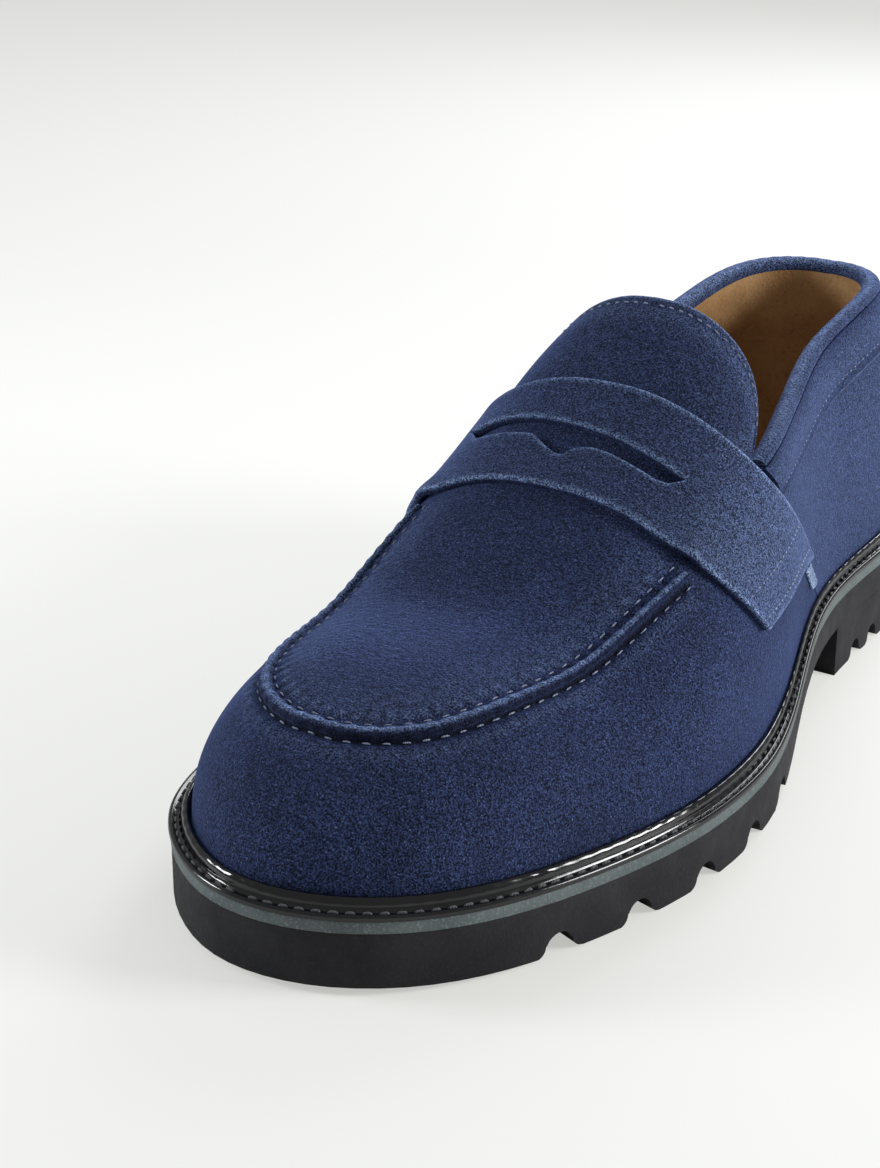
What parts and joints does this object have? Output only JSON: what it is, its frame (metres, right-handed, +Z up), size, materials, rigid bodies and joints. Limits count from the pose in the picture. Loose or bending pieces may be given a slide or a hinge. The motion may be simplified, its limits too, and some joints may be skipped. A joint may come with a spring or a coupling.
{
  "type": "penny loafer",
  "caption": "Left penny loafer in suede with apron toe, slotted strap, storm welt and lugged rubber sole with heel block; tongue flap hinges up.",
  "frame": {"origin": "bottom centre of the bounding box, on the ground under the shoe", "axes": "+Z up, -Y towards the toe, +Y towards the heel, +X towards the outer side of the left foot"},
  "size_m": [0.1229, 0.3014, 0.1147],
  "materials": {
    "rubber_black": "matte",
    "rubber_grey": "matte",
    "welt_black": "gloss",
    "thread_grey": "matte",
    "thread_blue": "matte",
    "nail_brass": "satin",
    "shank_steel": "brushed",
    "cork": "matte",
    "insole_board": "matte",
    "lining_tan": "satin",
    "pad_foam": "matte",
    "stiffener": "matte",
    "suede_navy": "suede",
    "suede_edge": "suede"
  },
  "bodies": {
    "shoe": {"outsole": "rubber_black", "heel_block": "rubber_black", "heel_nails": "nail_brass", "midsole": "rubber_grey", "welt": "welt_black", "welt_stitching": "thread_grey", "cork_filler": "cork", "shank": "shank_steel", "insole": "insole_board", "heel_pad": "pad_foam", "sock_liner": "lining_tan", "toe_puff": "stiffener", "heel_counter": "stiffener", "interlining": "stiffener", "vamp": "suede_navy", "apron": "suede_navy", "apron_piping": "suede_edge", "apron_stitching": "thread_blue", "vamp_lining": "lining_tan", "quarter_lateral": "suede_navy", "quarter_medial": "suede_navy", "quarter_lining": "lining_tan", "quarter_edge_lateral": "suede_edge", "quarter_edge_medial": "suede_edge", "collar_band": "suede_navy", "collar_stitching": "thread_blue", "topline_binding": "suede_navy", "back_strip": "suede_navy", "strap": "suede_navy", "strap_stitching": "thread_blue"},
    "tongue": {"tongue": "suede_navy", "tongue_lining": "lining_tan", "tongue_stitching": "thread_blue"}
  },
  "joints": [
    {"name": "tongue_flex", "type": "hinge", "parent": "shoe", "child": "tongue", "pos_m": [0, -0.0016, 0.0962], "axis": [1, 0, 0], "range_deg": [0, 22], "stiffness_Nm_per_rad": 0.15}
  ]
}
